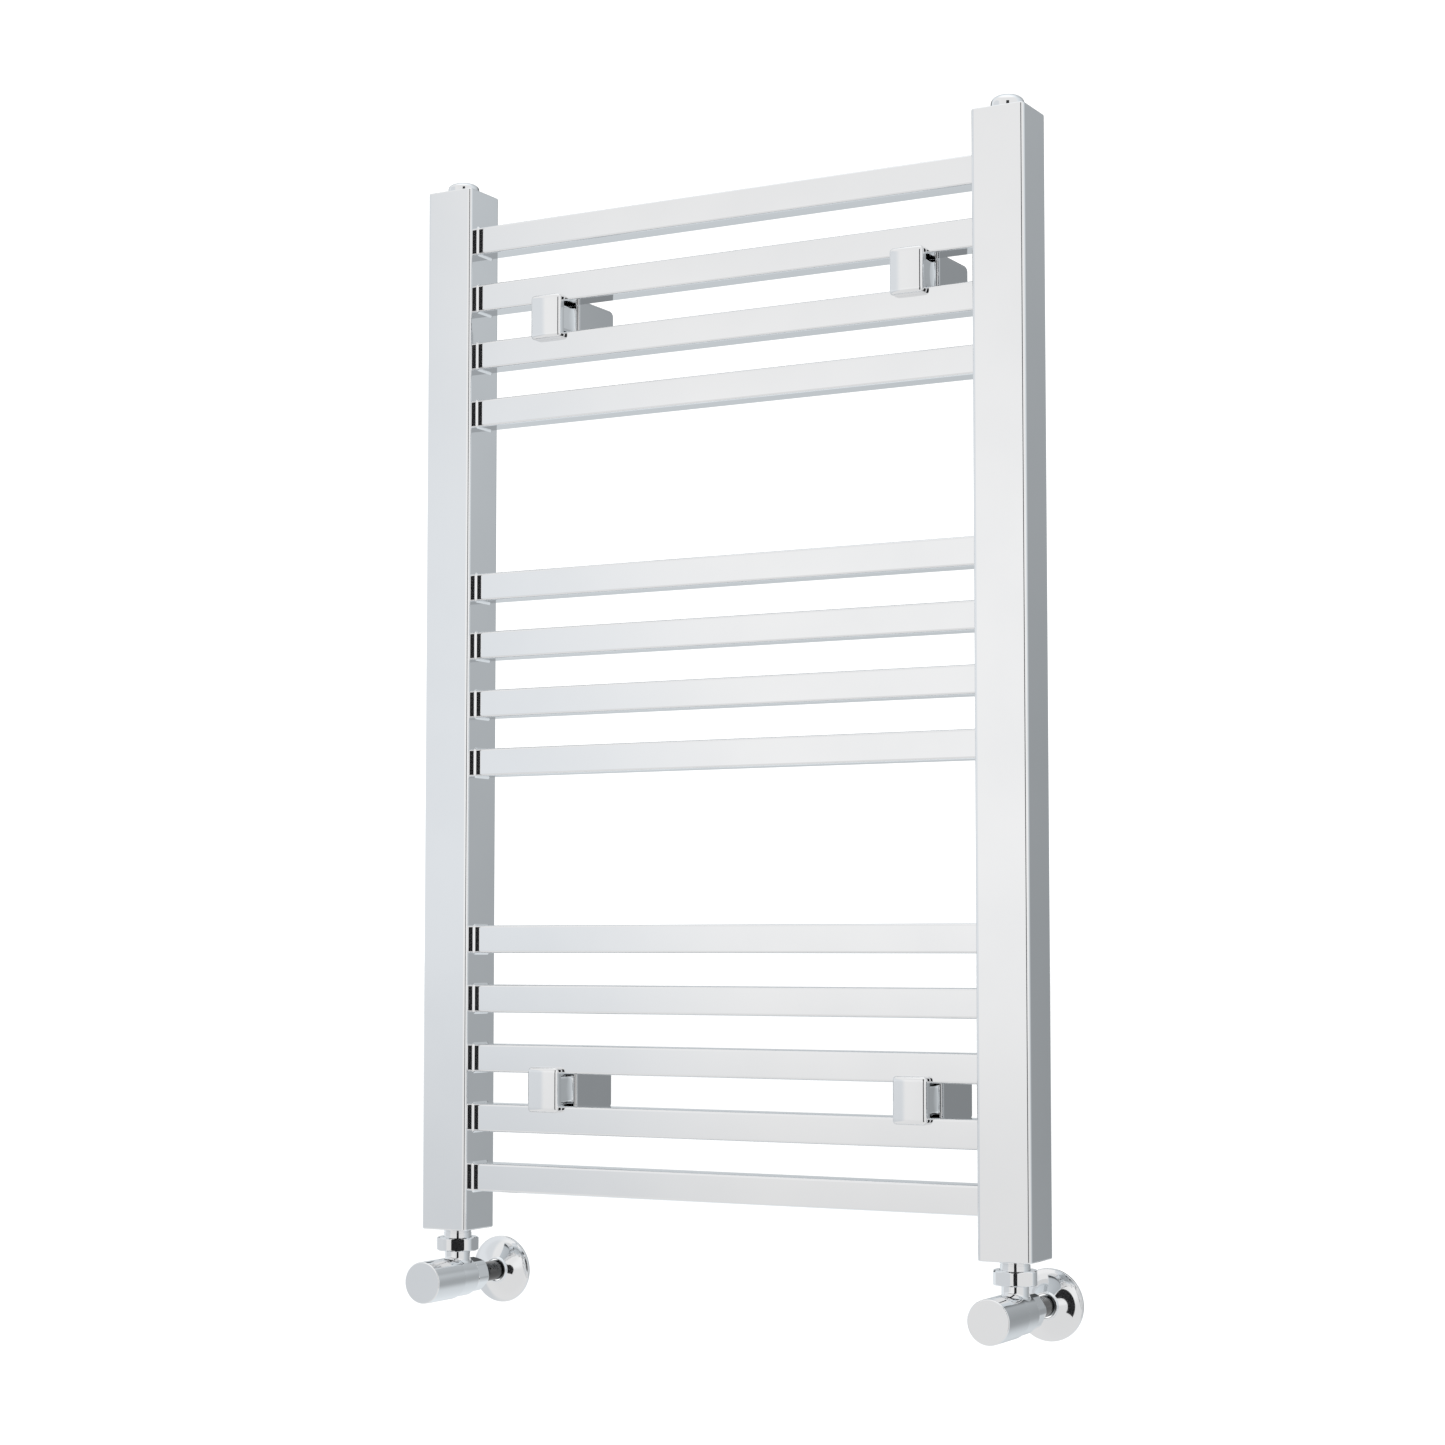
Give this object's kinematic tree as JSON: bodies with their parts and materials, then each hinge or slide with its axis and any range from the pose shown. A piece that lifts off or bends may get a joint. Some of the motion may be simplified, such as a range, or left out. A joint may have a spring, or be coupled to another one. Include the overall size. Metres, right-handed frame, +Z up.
{
  "type": "ladder towel radiator with angle valves",
  "caption": "Chrome ladder towel radiator with rectangular bars between square uprights, wall clamp brackets and angle valves with round heads.",
  "frame": {"origin": "on the wall plane, midway between the uprights and midway between their ends", "axes": "+Z up, +Y into the wall, +X to the right seen from the room"},
  "size_m": [0.511, 0.109, 0.874],
  "materials": {
    "chrome": "bright chromium plate on steel and brass",
    "zinc_plate": "zinc plated steel",
    "dark_steel": "blackened alloy steel",
    "brass": "machined brass",
    "black_plastic": "black moulded plastic"
  },
  "bodies": {
    "radiator": {"upright_left": "chrome", "upright_right": "chrome", "bar_01": "chrome", "bar_02": "chrome", "bar_03": "chrome", "bar_04": "chrome", "bar_05": "chrome", "bar_06": "chrome", "bar_07": "chrome", "bar_08": "chrome", "bar_09": "chrome", "bar_10": "chrome", "bar_11": "chrome", "bar_12": "chrome", "bar_13": "chrome", "vent_plug": "chrome", "blanking_plug": "chrome", "bracket_upper_left_pad": "chrome", "bracket_upper_left_sleeve": "chrome", "bracket_upper_left_clamp_screw": "zinc_plate", "bracket_upper_left_wall_post": "zinc_plate", "bracket_upper_left_grub_screw": "dark_steel", "bracket_upper_right_pad": "chrome", "bracket_upper_right_sleeve": "chrome", "bracket_upper_right_clamp_screw": "zinc_plate", "bracket_upper_right_wall_post": "zinc_plate", "bracket_upper_right_grub_screw": "dark_steel", "bracket_lower_left_pad": "chrome", "bracket_lower_left_sleeve": "chrome", "bracket_lower_left_clamp_screw": "zinc_plate", "bracket_lower_left_wall_post": "zinc_plate", "bracket_lower_left_grub_screw": "dark_steel", "bracket_lower_right_pad": "chrome", "bracket_lower_right_sleeve": "chrome", "bracket_lower_right_clamp_screw": "zinc_plate", "bracket_lower_right_wall_post": "zinc_plate", "bracket_lower_right_grub_screw": "dark_steel", "lockshield_tail": "chrome", "lockshield_union_nut": "chrome", "lockshield_body": "chrome", "lockshield_bonnet": "brass", "lockshield_inlet_nut": "chrome", "lockshield_olive": "brass", "lockshield_inlet_pipe": "chrome", "lockshield_escutcheon": "chrome", "control_tail": "chrome", "control_union_nut": "chrome", "control_body": "chrome", "control_bonnet": "brass", "control_inlet_nut": "chrome", "control_olive": "brass", "control_inlet_pipe": "chrome", "control_escutcheon": "chrome"},
    "bleed_screw": {"bleed_screw": "black_plastic"},
    "control_head": {"control_handle": "chrome", "control_spindle": "brass"},
    "control_shutter": {"control_shutter": "brass"},
    "lockshield_cap": {"lockshield_cap": "chrome"},
    "lockshield_spindle": {"lockshield_spindle": "brass"},
    "lockshield_shutter": {"lockshield_shutter": "brass"}
  },
  "joints": [
    {"name": "bleed_turn", "type": "hinge", "parent": "radiator", "child": "bleed_screw", "pos_m": [-0.23, -0.062, 0.4], "axis": [0, 0, 1], "range_deg": [0, 720]},
    {"name": "control_turn", "type": "hinge", "parent": "radiator", "child": "control_head", "pos_m": [0.23, -0.062, -0.437], "axis": [0, -1, 0], "range_deg": [0, 1080]},
    {"name": "control_lift", "type": "slide", "parent": "radiator", "child": "control_shutter", "axis": [0, -1, 0], "range_m": [0, 0.0045]},
    {"name": "cap_pull", "type": "slide", "parent": "radiator", "child": "lockshield_cap", "axis": [0, -1, 0], "range_m": [0, 0.045]},
    {"name": "lockshield_turn", "type": "hinge", "parent": "radiator", "child": "lockshield_spindle", "pos_m": [-0.23, -0.062, -0.437], "axis": [0, -1, 0], "range_deg": [0, 1080]},
    {"name": "lockshield_lift", "type": "slide", "parent": "radiator", "child": "lockshield_shutter", "axis": [0, -1, 0], "range_m": [0, 0.0045]}
  ],
  "couplings": [
    {"joint": "control_turn", "follows": "control_lift", "rad_per_m": 4188.8},
    {"joint": "lockshield_turn", "follows": "lockshield_lift", "rad_per_m": 4188.8}
  ]
}
